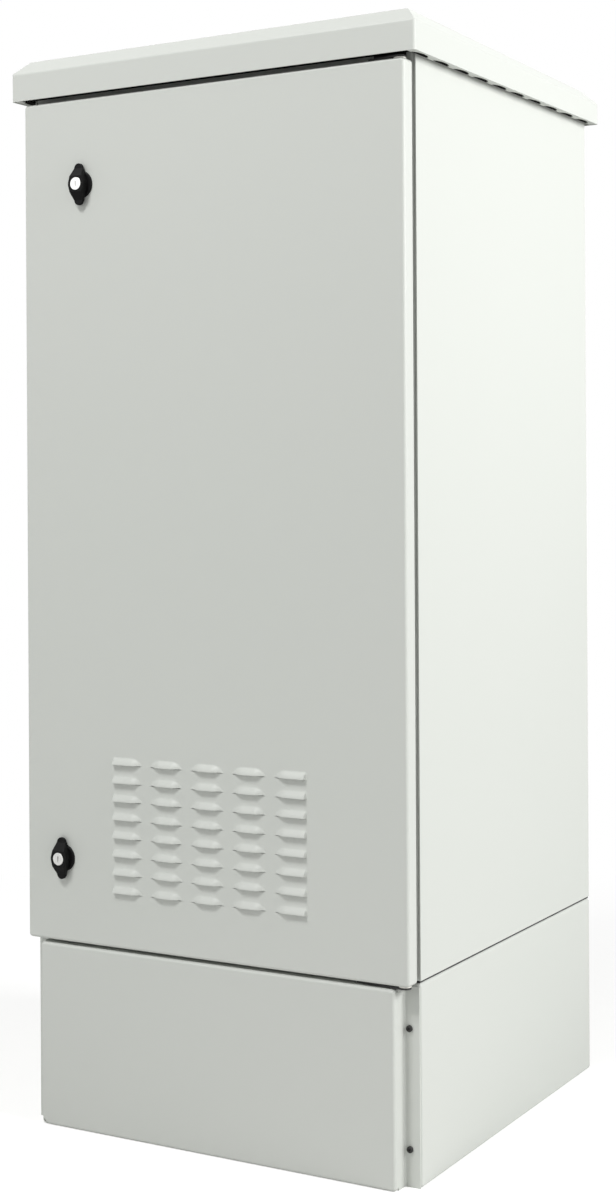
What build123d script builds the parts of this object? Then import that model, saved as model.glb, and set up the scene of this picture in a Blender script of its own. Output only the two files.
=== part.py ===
from build123d import *
import os
from math import sqrt

# Roadside utility cabinet: a folded sheet-steel body on a plinth, with a full-width door,
# two quarter-turn latches, pressed louvres and a chamfered rain hood.
# Millimetres. X is across the front, +Y goes back from the door, +Z is up.
# The origin is on the floor, at the middle of the plinth.

# Cabinet body
body_width = 600
body_depth = 580
body_height = 1195
sheet = 2.0
bend_radius = 2.0

# Plinth and its covers
plinth_height = 259
plinth_flange = 40
cover_side_inset = 22.5
cover_top_gap = 5
cover_flange_margin = 1
cover_corner_cut = 12
cover_screw_inset = 15
cover_screw_bottom = 48
cover_screw_top_margin = 53
cover_flange_radius = 3.0
cover_bracket_gap = 1
back_cover_overlap = 20
back_cover_fold = 15
seal_thickness = 3
seal_width = 30
seal_recess = 2

# Fixings of the body to the plinth and of the plinth to the floor
anchor_inset_x = 20
anchor_inset_y = 60
anchor_hole_radius = 7.0
plinth_bolt_radius = 5.0
bolt_hole_clearance = 0.5

# Door
door_side_inset = 2
door_depth = 22
door_gap = 7
door_top_drop = 33
door_lip = 14
door_corner_radius = 5.0

# Frame round the door opening
frame_width = 38
frame_lip = 16
frame_leg = 50

# Louvres pressed out of the door
louvre_rows = 8
louvre_columns = 5
louvre_row_pitch = 25
louvre_column_pitch = 65
louvre_width = 50
louvre_height = 11
louvre_rise = 6.5
louvre_slit = 1.0
louvre_end_taper = 11
louvre_shoulder = 7
louvre_nose = 3.0
louvre_top_above_door = 262

# Dust filter behind the louvres
filter_margin = 18
filter_depth = 12
filter_border = 14
filter_clearance = 0.5

# Door stiffeners and gasket
stiffener_width = 60
stiffener_depth = 14
stiffener_flange = 15
stiffener_end_gap = 8
stiffener_heights = (0.38, 0.66)
gasket_width = 12
gasket_clearance = 0.3

# Door pivots
pivot_inset = 11
pivot_pin_radius = 4.0
pivot_running_clearance = 0.05
pivot_bush_wall = 2.0
pivot_bush_flange = 1.5
pivot_block_width = 20
pivot_block_height = 20
pivot_block_chamfer = 3.5
bracket_thickness = 2.5
bracket_nose_radius = 8
bracket_leaf_width = 45
bracket_leaf_height = 38
bracket_leaf_inset = 32

# Latches
upper_latch_inset = 98
upper_latch_drop = 119
lower_latch_inset = 62
lower_latch_rise = 116
knob_height = 57.5
knob_projection = 14
knob_boss_radius = 12.8
knob_tip_radius = 7.0
knob_tip_thickness = 4.0
knob_edge_radius = 1.0
rosette_radius = 18.8
rosette_thickness = 3.0
barrel_radius = 11
barrel_length = 30
barrel_hole_clearance = 0.3
latch_nut_across_flats = 29
latch_nut_thickness = 5
spindle_radius = 6
spindle_running_clearance = 0.05
knob_gap = 0.3
plug_radius = 8.7
plug_depth = 8
plug_running_clearance = 0.05
keyway_width = 1.2
keyway_height = 8
keyway_depth = 4
cam_thickness = 3
cam_width = 14
cam_square = 8
cam_reach_gap = 2.5
cam_set_back = 40
cam_screw_head_radius = 5
cam_screw_head_height = 3.5

# Keepers on the frame post
keeper_thickness = 3
keeper_height = 44
keeper_tongue = 8
keeper_clearance = 0.3
keeper_leg = 20

# Rain hood
hood_side_overhang = 16
hood_front_overhang = 5
hood_back_overhang = 13
hood_height = 58
hood_chamfer = 20
hood_bend_radius = 5.0
hood_corner_radius = 4.0
hood_skirt_rise = 8
hood_air_gap = 29
hood_boss_radius = 9
hood_boss_inset = 60
hood_bolt_radius = 4.0

# Base tray, gland plate and ceiling
tray_fold = 25
gland_opening_width = 360
gland_opening_depth = 240
gland_opening_back_margin = 70
gland_plate_overlap = 18
gland_plate_thickness = 2.0
gland_screw_inset = 9
grommet_radius = 16
grommet_columns = 3
grommet_rows = 2
grommet_pitch_x = 100
grommet_pitch_y = 90
grommet_lip = 3
ceiling_vent_count = 6
ceiling_vent_length = 70
ceiling_vent_width = 8
ceiling_vent_margin = 60

# Equipment rails and their depth braces
rack_unit = 44.45
rack_units = 24
rail_hole_spacing = 465.1
rail_hole_size = 9.5
rail_opening = 450
rail_face_width = 21
rail_leg = 40
rail_front_setback = 60
rail_back_setback = 60
rail_bottom_gap = 40
rail_top_gap = 24
rail_end_margin = 12
brace_height = 30
brace_length_margin = 6
brace_end_offset = 30

# Small fasteners
m5_radius = 2.5
m6_radius = 3.0
m8_radius = 4.0
screw_head_ratio = 1.7
screw_head_height = 3.0
thread_clearance = 0.1
earth_stud_length = 25
rivet_nut_length = 12
rivet_nut_wall = 1.5

os.makedirs("parts", exist_ok=True)

# Places worked out from the sizes above
side_outer = body_width / 2
side_inner = side_outer - sheet
body_front = -body_depth / 2
body_back = body_depth / 2
body_bottom = plinth_height + seal_thickness
body_top = body_bottom + body_height
frame_back = body_front + sheet
opening_edge = side_inner - frame_width + sheet
opening_bottom = body_bottom + frame_width
lip_front = body_front - frame_lip

cover_top = plinth_height - cover_top_gap
door_half_width = side_outer - door_side_inset
door_back = body_front - door_gap
door_front = door_back - door_depth
door_inner = door_front + sheet
door_bottom = cover_top + cover_bracket_gap + bracket_thickness + pivot_bush_flange
door_top = body_top - door_top_drop
door_height = door_top - door_bottom
door_middle = (door_bottom + door_top) / 2
opening_top = door_top - frame_width

pivot_x = door_half_width - pivot_inset
pivot_y = door_front + pivot_inset
lock_side = -door_half_width

cover_front = door_front
cover_half_width = side_outer - cover_side_inset

hood_half_width = side_outer + hood_side_overhang
hood_front = door_front - hood_front_overhang
hood_back = body_back + hood_back_overhang
hood_top = body_top + hood_air_gap + sheet
hood_bottom = hood_top - hood_height

rail_outer = rail_opening / 2 + rail_face_width
rail_front = body_front + rail_front_setback
rail_back = body_back - rail_back_setback
rail_bottom = body_bottom + rail_bottom_gap
rail_top = body_top - rail_top_gap
tray_half_width = side_inner - sheet


def block(x0, x1, y0, y1, z0, z1):
    """Solid block between two opposite corners."""
    centre = ((x0 + x1) / 2, (y0 + y1) / 2, (z0 + z1) / 2)
    return Pos(*centre) * Box(abs(x1 - x0), abs(y1 - y0), abs(z1 - z0))


def rod(x, y, z0, z1, radius):
    """Upright round bar."""
    return Pos(x, y, (z0 + z1) / 2) * Cylinder(radius, z1 - z0)


def rod_along_y(x, z, y0, y1, radius):
    """Round bar that runs front to back."""
    return Pos(x, (y0 + y1) / 2, z) * Rot(90, 0, 0) * Cylinder(radius, y1 - y0)


def hex_along_y(x, z, y0, y1, across_flats):
    """Hexagonal bar that runs front to back."""
    hexagon = RegularPolygon(across_flats / 2, 6, major_radius=False)
    return Pos(x, y1, z) * Rot(90, 0, 0) * extrude(hexagon, y1 - y0)


def slab_along_y(outline, y0, y1):
    """Outline drawn in X and Z, given a thickness from y0 back to y1."""
    return Pos(0, y1, 0) * Rot(90, 0, 0) * extrude(outline, y1 - y0)


def left_offset(points, distance):
    """The line of points moved to its own left by a distance, with mitred corners."""
    corners = [Vector(*point) for point in points]
    headings = [(b - a).normalized() for a, b in zip(corners, corners[1:])]
    lefts = [Vector(-h.Y, h.X) for h in headings]
    moved = [corners[0] + lefts[0] * distance]
    for corner, before, after in zip(corners[1:-1], lefts, lefts[1:]):
        mitre = (before + after) * (distance / (1 + before.dot(after)))
        moved.append(corner + mitre)
    moved.append(corners[-1] + lefts[-1] * distance)
    return moved


def turns_left(points):
    """Whether the line turns left at each of its inner corners."""
    corners = [Vector(*point) for point in points]
    headings = [b - a for a, b in zip(corners, corners[1:])]
    return [a.X * b.Y - a.Y * b.X > 0 for a, b in zip(headings, headings[1:])]


def folded_section(points, thickness=sheet, radius=bend_radius):
    """Section of a sheet folded along a line, with its thickness on the line's left."""
    lefts = turns_left(points)
    near = FilletPolyline(*points, radius=[radius + thickness if left else radius for left in lefts])
    far = FilletPolyline(
        *left_offset(points, thickness), radius=[radius if left else radius + thickness for left in lefts]
    )
    return make_face([near, Line(near @ 1, far @ 1), far, Line(far @ 0, near @ 0)])


def pan(width, height, depth, corner=door_corner_radius, thickness=sheet):
    """Sheet pan: its outer face lies on XY and its four folded walls rise to +Z."""
    outer = extrude(RectangleRounded(width, height, corner), depth)
    outer = fillet(outer.faces().sort_by(Axis.Z)[0].edges(), bend_radius + thickness)
    hollow_size = (width - 2 * thickness, height - 2 * thickness)
    hollow = Pos(0, 0, thickness) * extrude(RectangleRounded(*hollow_size, corner - thickness), depth)
    hollow = fillet(hollow.faces().sort_by(Axis.Z)[0].edges(), bend_radius)
    return outer - hollow


def facing_front(x, y, z):
    """Placing of a pan whose outer face looks to the front."""
    return Plane(origin=(x, y, z), x_dir=(1, 0, 0), z_dir=(0, 1, 0)).location


def mirrored(shape):
    """The same piece on the other side of the cabinet."""
    return shape.mirror(Plane.YZ)


def union(shapes):
    """One shape of several."""
    whole = shapes[0]
    for shape in shapes[1:]:
        whole += shape
    return whole


def save(name, shape):
    """Write one piece, or one group of like fasteners, to its own file."""
    solids = shape.solids()
    whole = solids[0] if len(solids) == 1 else Compound(list(solids))
    whole.label = name
    export_step(whole, f"parts/{name}.step")


# Plinth

def plinth_side():
    """Right-hand plinth side, folded on all four edges, with anchor and bolt holes."""
    placing = Plane(origin=(side_outer, 0, plinth_height / 2), x_dir=(0, 1, 0), z_dir=(-1, 0, 0)).location
    side = placing * pan(body_depth, plinth_height, plinth_flange)
    for y in anchor_places_y():
        side -= rod(anchor_x, y, -sheet, 2 * sheet, anchor_hole_radius)
        side -= rod(anchor_x, y, plinth_height - 2 * sheet, body_bottom, bolt_hole_radius)
    for z in cover_screw_heights():
        side -= rod_along_y(cover_screw_x, z, body_front - sheet, body_front + 2 * sheet, rivet_nut_radius)
    return side


def anchor_places_y():
    """Front and back places of the anchors and plinth bolts."""
    return (body_front + anchor_inset_y, body_back - anchor_inset_y)


def cover_screw_heights():
    """Heights of the front cover's screws."""
    return (cover_screw_bottom, cover_top - cover_screw_top_margin)


def front_cover():
    """Front cover: a tray proud of the plinth, with a screwed flange down each side."""
    height = cover_top
    depth = body_front - cover_front
    tray = facing_front(0, cover_front, height / 2) * pan(2 * cover_half_width, height, depth)
    reach = side_outer - cover_flange_margin
    bend_start = cover_front + depth / 3
    flange_line = [
        (cover_half_width, bend_start),
        (cover_half_width, body_front - sheet),
        (reach, body_front - sheet),
    ]
    flange = extrude(folded_section(flange_line, radius=cover_flange_radius), height)
    wall = block(cover_half_width - sheet, cover_half_width, bend_start, body_front, 0, height)
    tray -= wall + mirrored(wall)
    cover = tray + flange + mirrored(flange)
    for side in (-1, 1):
        for z in cover_screw_heights():
            x = side * cover_screw_x
            cover -= rod_along_y(x, z, body_front - 2 * sheet, body_front + sheet, m5_hole_radius)
    corner = [
        (-cover_half_width, 0),
        (-cover_half_width + cover_corner_cut, 0),
        (-cover_half_width, cover_corner_cut * 1.1),
    ]
    corner_face = make_face(Polyline(*corner, close=True))
    return cover - slab_along_y(corner_face, cover_front - sheet, cover_front + 2 * sheet)


def cover_screws():
    """Dark low-headed screws of the front cover."""
    screws = []
    for side in (-1, 1):
        for z in cover_screw_heights():
            x = side * cover_screw_x
            head_front = body_front - sheet - screw_head_height
            head = rod_along_y(x, z, head_front, body_front - sheet, m5_radius * screw_head_ratio)
            head = fillet(head.faces().sort_by(Axis.Y)[0].edges(), screw_head_height / 3)
            shank = rod_along_y(x, z, body_front - sheet, body_front + rivet_nut_length, m5_radius)
            socket = hex_along_y(x, z, head_front, head_front + screw_head_height / 2, m5_radius * 1.2)
            screws.append(head + shank - socket)
    return Compound(screws)


def cover_rivet_nuts():
    """Rivet nuts in the plinth's front flanges that take the cover's screws."""
    nuts = []
    for side in (-1, 1):
        for z in cover_screw_heights():
            x = side * cover_screw_x
            body = rod_along_y(x, z, body_front, body_front + rivet_nut_length, rivet_nut_radius)
            bulge_radius = rivet_nut_radius + rivet_nut_wall / 2
            bulge = rod_along_y(x, z, body_front + sheet, body_front + 2 * sheet, bulge_radius)
            hole = rod_along_y(x, z, body_front, body_front + rivet_nut_length, m5_radius + thread_clearance)
            nuts.append(body + bulge - hole)
    return Compound(nuts)


def back_cover():
    """Plain back cover of the plinth, lying behind the side flanges."""
    half_width = side_outer - plinth_flange + back_cover_overlap
    inner_height = plinth_height - 2 * sheet
    cover = facing_front(0, 0, 0) * pan(2 * half_width, inner_height, back_cover_fold)
    cover = Rot(0, 0, 180) * cover
    return Pos(0, body_back - sheet, plinth_height / 2) * cover


def ring(half_width, y0, y1, z0, z1, width):
    """Flat rectangular ring lying level."""
    outside = block(-half_width, half_width, y0, y1, z0, z1)
    return outside - block(-half_width + width, half_width - width, y0 + width, y1 - width, z0, z1)


def base_seal():
    """Rubber strip between the plinth and the body, set back from the outside."""
    strip = ring(
        side_outer - seal_recess,
        body_front + seal_recess,
        body_back - seal_recess,
        plinth_height,
        body_bottom,
        seal_width,
    )
    for side in (-1, 1):
        for y in anchor_places_y():
            strip -= rod(side * anchor_x, y, plinth_height, body_bottom, bolt_hole_radius)
    return strip


def plinth_bolts():
    """Bolts with nuts that hold the body down on the plinth."""
    bolts = []
    head_height = plinth_bolt_radius * 1.3
    under = plinth_height - sheet
    over = body_bottom + sheet
    for side in (-1, 1):
        for y in anchor_places_y():
            x = side * anchor_x
            hexagon = RegularPolygon(plinth_bolt_radius * screw_head_ratio, 6, major_radius=False)
            head = Pos(x, y, over) * extrude(hexagon, head_height)
            shank = rod(x, y, under - head_height, over, plinth_bolt_radius)
            nut = Pos(x, y, under - head_height) * extrude(hexagon, head_height)
            bolts.append(head + shank + nut)
    return Compound(bolts)


# Body shell

def side_panel():
    """Right-hand side: one flat skin with a stiffening fold at its back edge."""
    fold = plinth_flange / 2
    line = [
        (side_outer, body_front),
        (side_outer, body_back),
        (side_outer - fold, body_back),
    ]
    return Pos(0, 0, body_bottom) * extrude(folded_section(line), body_height)


def back_panel():
    """Plain back, folded forward at both sides, between the side panels' folds."""
    half_width = side_inner
    depth = plinth_flange / 2
    line = [
        (half_width, body_back - sheet - depth),
        (half_width, body_back - sheet),
        (-half_width, body_back - sheet),
        (-half_width, body_back - sheet - depth),
    ]
    return Pos(0, 0, body_bottom) * extrude(folded_section(line), body_height)


def base_tray():
    """Floor of the body: a tray with the cable opening, a bolt hole at each corner and an earth-stud hole."""
    depth = body_depth - 3 * sheet
    y_middle = (frame_back + body_back - 2 * sheet) / 2
    tray = Pos(0, y_middle, body_bottom) * pan(2 * tray_half_width, depth, tray_fold)
    tray -= block(
        -gland_opening_width / 2,
        gland_opening_width / 2,
        gland_back - gland_opening_depth,
        gland_back,
        body_bottom - sheet,
        body_bottom + 2 * sheet,
    )
    for side in (-1, 1):
        for y in anchor_places_y():
            tray -= rod(side * anchor_x, y, body_bottom - sheet, body_bottom + 2 * sheet, bolt_hole_radius)
    for x, y in gland_screw_places():
        tray -= rod(x, y, body_bottom - sheet, body_bottom + 2 * sheet, m5_hole_radius)
    tray -= rod(earth_stud_x, earth_stud_y, body_bottom - sheet, body_bottom + 2 * sheet, m8_radius)
    return tray


def gland_screw_places():
    """Places of the gland plate's screws, two along each long side."""
    x = gland_opening_width / 2 - gland_screw_inset
    front = gland_back - gland_opening_depth - gland_screw_inset
    back = gland_back + gland_screw_inset
    return [(side * x, y) for side in (-1, 1) for y in (front, back)]


def grommet_places():
    """Middles of the cable grommets in the gland plate."""
    middle = gland_back - gland_opening_depth / 2
    places = []
    for column in range(grommet_columns):
        for row in range(grommet_rows):
            x = (column - (grommet_columns - 1) / 2) * grommet_pitch_x
            y = middle + (row - (grommet_rows - 1) / 2) * grommet_pitch_y
            places.append((x, y))
    return places


def gland_plate():
    """Plate over the cable opening, with holes for the grommets."""
    plate = block(
        -gland_opening_width / 2 - gland_plate_overlap,
        gland_opening_width / 2 + gland_plate_overlap,
        gland_back - gland_opening_depth - gland_plate_overlap,
        gland_back + gland_plate_overlap,
        gland_plate_bottom,
        gland_plate_top,
    )
    plate = fillet(plate.edges().filter_by(Axis.Z), gland_plate_overlap / 2)
    for x, y in grommet_places():
        plate -= rod(x, y, gland_plate_bottom, gland_plate_top, grommet_radius)
    for x, y in gland_screw_places():
        plate -= rod(x, y, gland_plate_bottom, gland_plate_top, m5_hole_radius)
    return plate


def gland_plate_screws():
    """Round-headed screws that hold the gland plate on the tray."""
    screws = []
    for x, y in gland_screw_places():
        head_top = gland_plate_top + screw_head_height
        head = rod(x, y, gland_plate_top, head_top, m5_radius * screw_head_ratio)
        head = fillet(head.faces().sort_by(Axis.Z)[-1].edges(), screw_head_height / 2)
        screws.append(head + rod(x, y, body_bottom, gland_plate_top, m5_radius))
    return Compound(screws)


def cable_grommets():
    """Rubber membrane grommets, each turned about its own axis, closed until a cable is passed."""
    grommets = []
    lip_radius = grommet_radius + grommet_lip
    for x, y in grommet_places():
        outline = [
            (0, gland_plate_bottom + grommet_lip),
            (grommet_radius - grommet_lip, gland_plate_bottom - grommet_lip),
            (grommet_radius, gland_plate_bottom - grommet_lip),
            (grommet_radius, gland_plate_top),
            (lip_radius, gland_plate_top),
            (lip_radius - grommet_lip / 2, gland_plate_top + grommet_lip),
            (grommet_radius - grommet_lip, gland_plate_top + grommet_lip),
            (0, gland_plate_top + 2 * grommet_lip),
        ]
        section = Plane.XZ * make_face(Polyline(*outline, close=True))
        grommets.append(Pos(x, y, 0) * revolve(section, Axis.Z))
    return Compound(grommets)


def earth_stud():
    """Brass stud for the earth cable, with its collar, at the front of the tray."""
    collar_top = body_bottom + sheet + m8_radius
    stud = rod(earth_stud_x, earth_stud_y, body_bottom, body_bottom + earth_stud_length, m8_radius)
    return stud + rod(earth_stud_x, earth_stud_y, body_bottom + sheet, collar_top, 2 * m8_radius)


def ceiling_panel():
    """Ceiling under the rain hood: a downturned tray with vent slots at front and back."""
    depth = body_depth - 3 * sheet
    y_middle = (frame_back + body_back - 2 * sheet) / 2
    panel = Pos(0, y_middle, body_top) * Rot(180, 0, 0) * pan(2 * tray_half_width, depth, tray_fold)
    span = 2 * tray_half_width - 2 * ceiling_vent_margin - ceiling_vent_length
    for y in (frame_back + ceiling_vent_margin, body_back - ceiling_vent_margin):
        for index in range(ceiling_vent_count):
            x = -span / 2 + span * index / (ceiling_vent_count - 1)
            slot = extrude(SlotOverall(ceiling_vent_length, ceiling_vent_width), 4 * sheet)
            panel -= Pos(x, y, body_top - 3 * sheet) * slot
    for x, y in hood_bolt_places():
        panel -= rod(x, y, body_top - 2 * sheet, body_top + sheet, hood_bolt_radius + bolt_hole_clearance)
    return panel


# Frame round the door opening

def frame_post():
    """Right-hand post: leg along the side panel, front face and the lip that meets the gasket."""
    corner = [
        (side_inner, body_front + frame_leg),
        (side_inner, body_front),
        (opening_edge - sheet, body_front),
    ]
    lipped = corner[:2] + [(opening_edge, body_front), (opening_edge, lip_front)]
    spans = (
        (corner, body_bottom, opening_bottom),
        (lipped, opening_bottom, opening_top),
        (corner, opening_top, body_top),
    )
    lengths = []
    for line, z0, z1 in spans:
        section = folded_section([(-x, y) for x, y in line])
        lengths.append(mirrored(Pos(0, 0, z0) * extrude(section, z1 - z0)))
    return union(lengths)


def frame_rail(z_outer, z_edge):
    """Head or sill of the frame: a front face with its lip turned to the door."""
    up = 1 if z_edge > z_outer else -1
    line = [
        (lip_front, z_edge),
        (body_front, z_edge),
        (body_front, z_outer),
    ]
    if up > 0:
        section = folded_section(line)
    else:
        section = folded_section(line[::-1])
    span = 2 * (opening_edge - sheet)
    face = Plane(origin=(-span / 2, 0, 0), x_dir=(0, 1, 0), z_dir=(1, 0, 0)) * section
    return extrude(face, span)


def keeper(z):
    """Angle on the lock-side post whose tongue the latch cam turns behind."""
    line = [
        (-opening_edge + sheet, keeper_back - keeper_leg),
        (-opening_edge + sheet, keeper_back),
        (-opening_edge + sheet + keeper_thickness + keeper_tongue, keeper_back),
    ]
    section = folded_section(line[::-1], keeper_thickness)
    return Pos(0, 0, z - keeper_height / 2) * extrude(section, keeper_height)


# Rain hood

def chamfered_outline(low, high, bottom, top, cut, soft):
    """Upright outline with both top corners chamfered and every knee bent to a soft radius."""
    points = [
        (low, bottom),
        (low, top - cut),
        (low + cut, top),
        (high - cut, top),
        (high, top - cut),
        (high, bottom),
    ]
    bends = FilletPolyline(*points, radius=soft)
    return make_face([bends, Line(points[-1], points[0])])


def hood_form(inset, bottom, cut, soft, corner):
    """Solid form of the hood drawn in by an inset: two chamfered outlines crossed, so the corners mitre."""
    half = hood_half_width - inset
    front = hood_front + inset
    back = hood_back - inset
    top = hood_top - inset
    across = slab_along_y(chamfered_outline(-half, half, bottom, top, cut, soft), front, back)
    side_plane = Plane(origin=(-half, 0, 0), x_dir=(0, 1, 0), z_dir=(1, 0, 0))
    along = extrude(side_plane * chamfered_outline(front, back, bottom, top, cut, soft), 2 * half)
    plan = extrude(RectangleRounded(2 * half, back - front, corner), top - bottom)
    plan = Pos(0, (front + back) / 2, bottom) * plan
    return across & along & plan


def rain_hood():
    """Rain hood: one folded shell whose side skirts run shallower towards the back."""
    shell = hood_form(0, hood_bottom, hood_chamfer, hood_bend_radius, hood_corner_radius)
    inner_cut = hood_chamfer - sheet * (2 - sqrt(2))
    inner_bend = hood_bend_radius - sheet
    shell -= hood_form(sheet, hood_bottom - sheet, inner_cut, inner_bend, hood_corner_radius - sheet)
    wedge_points = [
        (hood_front + hood_corner_radius, hood_bottom),
        (hood_back + sheet, hood_bottom),
        (hood_back + sheet, hood_bottom + hood_skirt_rise),
    ]
    wedge = make_face(Polyline(*wedge_points, close=True))
    side_view = Plane(origin=(-hood_half_width - sheet, 0, 0), x_dir=(0, 1, 0), z_dir=(1, 0, 0))
    return shell - extrude(side_view * wedge, 2 * (hood_half_width + sheet))


def hood_bolt_places():
    """Places of the four bolts that hold the hood down from inside."""
    x = side_inner - hood_boss_inset
    rows = (body_front + hood_boss_inset, body_back - hood_boss_inset)
    return [(side * x, y) for side in (-1, 1) for y in rows]


def hood_bosses():
    """Threaded bosses welded under the hood, which stand on the ceiling."""
    bosses = []
    for x, y in hood_bolt_places():
        boss = rod(x, y, body_top, hood_top - sheet, hood_boss_radius)
        bosses.append(boss - rod(x, y, body_top, hood_top - 2 * sheet, hood_bolt_radius + thread_clearance))
    return Compound(bosses)


def hood_bolts():
    """Hexagon-headed bolts that come up through the ceiling into the bosses."""
    bolts = []
    head_height = hood_bolt_radius * 1.3
    hexagon = RegularPolygon(hood_bolt_radius * screw_head_ratio, 6, major_radius=False)
    for x, y in hood_bolt_places():
        under = body_top - sheet
        head = Pos(x, y, under - head_height) * extrude(hexagon, head_height)
        bolts.append(head + rod(x, y, under, hood_top - 4 * sheet, hood_bolt_radius))
    return Compound(bolts)


# Equipment rails

def equipment_rail(y_face, direction, holes_per_unit):
    """Right-hand rail: an angle with square holes down its face, its leg turned into the cabinet."""
    line = [
        (rail_opening / 2, y_face),
        (rail_outer, y_face),
        (rail_outer, y_face + direction * rail_leg),
    ]
    section = folded_section(line if direction > 0 else line[::-1])
    rail = Pos(0, 0, rail_bottom) * extrude(section, rail_top - rail_bottom)
    first = (rail_bottom + rail_top - rack_units * rack_unit) / 2
    offsets = (rack_unit / 7, rack_unit / 2, rack_unit * 6 / 7) if holes_per_unit == 3 else (rack_unit / 2,)
    size = rail_hole_size / 2
    cutters = []
    for unit in range(rack_units):
        for offset in offsets:
            z = first + unit * rack_unit + offset
            x = rail_hole_spacing / 2
            hole = block(x - size, x + size, y_face - 2 * sheet, y_face + 2 * sheet, z - size, z + size)
            cutters.append(hole)
    return rail - Compound(cutters)


def depth_brace(z):
    """Right-hand brace: a channel that joins the side panel to the front and back rails."""
    line = [
        (side_inner, z),
        (side_inner, z + brace_height),
        (rail_outer, z + brace_height),
        (rail_outer, z),
    ]
    start = rail_front + sheet
    length = rail_back - rail_front - 2 * sheet
    plane = Plane(origin=(0, start + length, 0), x_dir=(1, 0, 0), z_dir=(0, -1, 0))
    return extrude(plane * folded_section(line), length)


def rail_screws():
    """Screws that hold the rails to the braces."""
    screws = []
    for side in (-1, 1):
        for y in (rail_front + rail_leg / 2, rail_back - rail_leg / 2):
            for z in brace_levels():
                middle = z + brace_height / 2
                head_inner = rail_outer - sheet - screw_head_height
                head = Pos((head_inner + rail_outer - sheet) / 2, y, middle) * Rot(0, 90, 0)
                head = head * Cylinder(m6_radius * screw_head_ratio, screw_head_height)
                shank_end = rail_outer + 3 * sheet
                shank = Pos((rail_outer - sheet + shank_end) / 2, y, middle) * Rot(0, 90, 0)
                shank = shank * Cylinder(m6_radius, shank_end - rail_outer + sheet)
                screw = head + shank
                screws.append(screw if side > 0 else mirrored(screw))
    return Compound(screws)


def brace_levels():
    """Undersides of the lower and upper braces."""
    return (rail_bottom + brace_end_offset, rail_top - brace_end_offset - brace_height)


def drill_for_rail_screws(shape):
    """Take the rail screws' holes out of a rail or a brace."""
    cutters = []
    for y in (rail_front + rail_leg / 2, rail_back - rail_leg / 2):
        for z in brace_levels():
            cutter = Pos(rail_outer, y, z + brace_height / 2) * Rot(0, 90, 0)
            cutters.append(cutter * Cylinder(m6_radius + thread_clearance, 6 * sheet))
    return shape - Compound(cutters)


# Door

def louvre_form(inset, square_left, square_right):
    """Solid form of one louvre about its own middle, drawn in by an inset for its hollow."""
    half = louvre_width / 2
    rise = louvre_rise - inset
    top = -inset * 1.6
    knee = (-rise, -louvre_height * 0.62 - inset)
    side_points = [(2 * sheet, top + 2 * sheet), (0, top), knee, (-rise, -louvre_height - inset)]
    side_line = FilletPolyline(*side_points[1:], radius=louvre_nose)
    side = make_face(
        [
            side_line,
            Line(side_line @ 1, (2 * sheet, -louvre_height - inset)),
            Line((2 * sheet, -louvre_height - inset), (2 * sheet, top)),
            Line((2 * sheet, top), side_line @ 0),
        ]
    )
    side_plane = Plane(origin=(-half, 0, 0), x_dir=(0, 1, 0), z_dir=(1, 0, 0))
    wedge = extrude(side_plane * side, louvre_width)
    left_reach = 0 if square_left else louvre_end_taper
    right_reach = 0 if square_right else louvre_end_taper
    plan_points = [
        (-half + inset, 2 * sheet),
        (-half + inset, 0),
        (-half + inset + left_reach, -rise),
        (half - inset - right_reach, -rise),
        (half - inset, 0),
        (half - inset, 2 * sheet),
    ]
    plan = make_face(Polyline(*plan_points, close=True))
    plan_form = Pos(0, 0, -2 * louvre_height) * extrude(plan, 4 * louvre_height)
    shoulder = louvre_shoulder
    front_points = [
        (-half + inset, -2 * louvre_height),
        (-half + inset, -shoulder if not square_left else 0),
        (-half + inset + (0 if square_left else shoulder * 1.5), 0),
        (half - inset - (0 if square_right else shoulder * 1.5), 0),
        (half - inset, -shoulder if not square_right else 0),
        (half - inset, -2 * louvre_height),
    ]
    outline = []
    for point in front_points:
        if point not in outline:
            outline.append(point)
    front_form = slab_along_y(make_face(Polyline(*outline, close=True)), -2 * louvre_rise, 4 * sheet)
    return wedge & plan_form & front_form


def louvre_pair(column):
    """Outer form and hollow of the louvre in one column; the end columns are square at the outside."""
    first = column == 0
    last = column == louvre_columns - 1
    outer = louvre_form(0, first, last)
    outer &= block(-louvre_width, louvre_width, -2 * louvre_rise, sheet, -louvre_height, louvre_height)
    return outer, louvre_form(sheet * 0.75, first, last)


def add_louvres(leaf):
    """Press the rows of louvres out of the door's skin."""
    outers = []
    hollows = []
    slits = []
    field_half = ((louvre_columns - 1) * louvre_column_pitch + louvre_width) / 2
    pairs = [louvre_pair(column) for column in range(louvre_columns)]
    for row in range(louvre_rows):
        z = louvre_top - row * louvre_row_pitch
        for column, (outer, hollow) in enumerate(pairs):
            x = (column - (louvre_columns - 1) / 2) * louvre_column_pitch
            outers.append(Pos(x, door_front, z) * outer)
            mouth_low = -louvre_height - louvre_slit
            mouth = block(-louvre_width, louvre_width, -2 * louvre_rise, 4 * sheet, mouth_low, louvre_height)
            below = block(-louvre_width, louvre_width, 0, 4 * sheet, -2 * louvre_height, -louvre_height)
            hollows.append(Pos(x, door_front, z) * ((hollow & mouth) - below))
        slit_top = z - louvre_height
        slit_low = slit_top - louvre_slit
        slit = block(-field_half, field_half, door_front - sheet, door_inner + sheet, slit_low, slit_top)
        slits.append(slit)
    return leaf + Compound(outers) - Compound(hollows) - Compound(slits)


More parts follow.
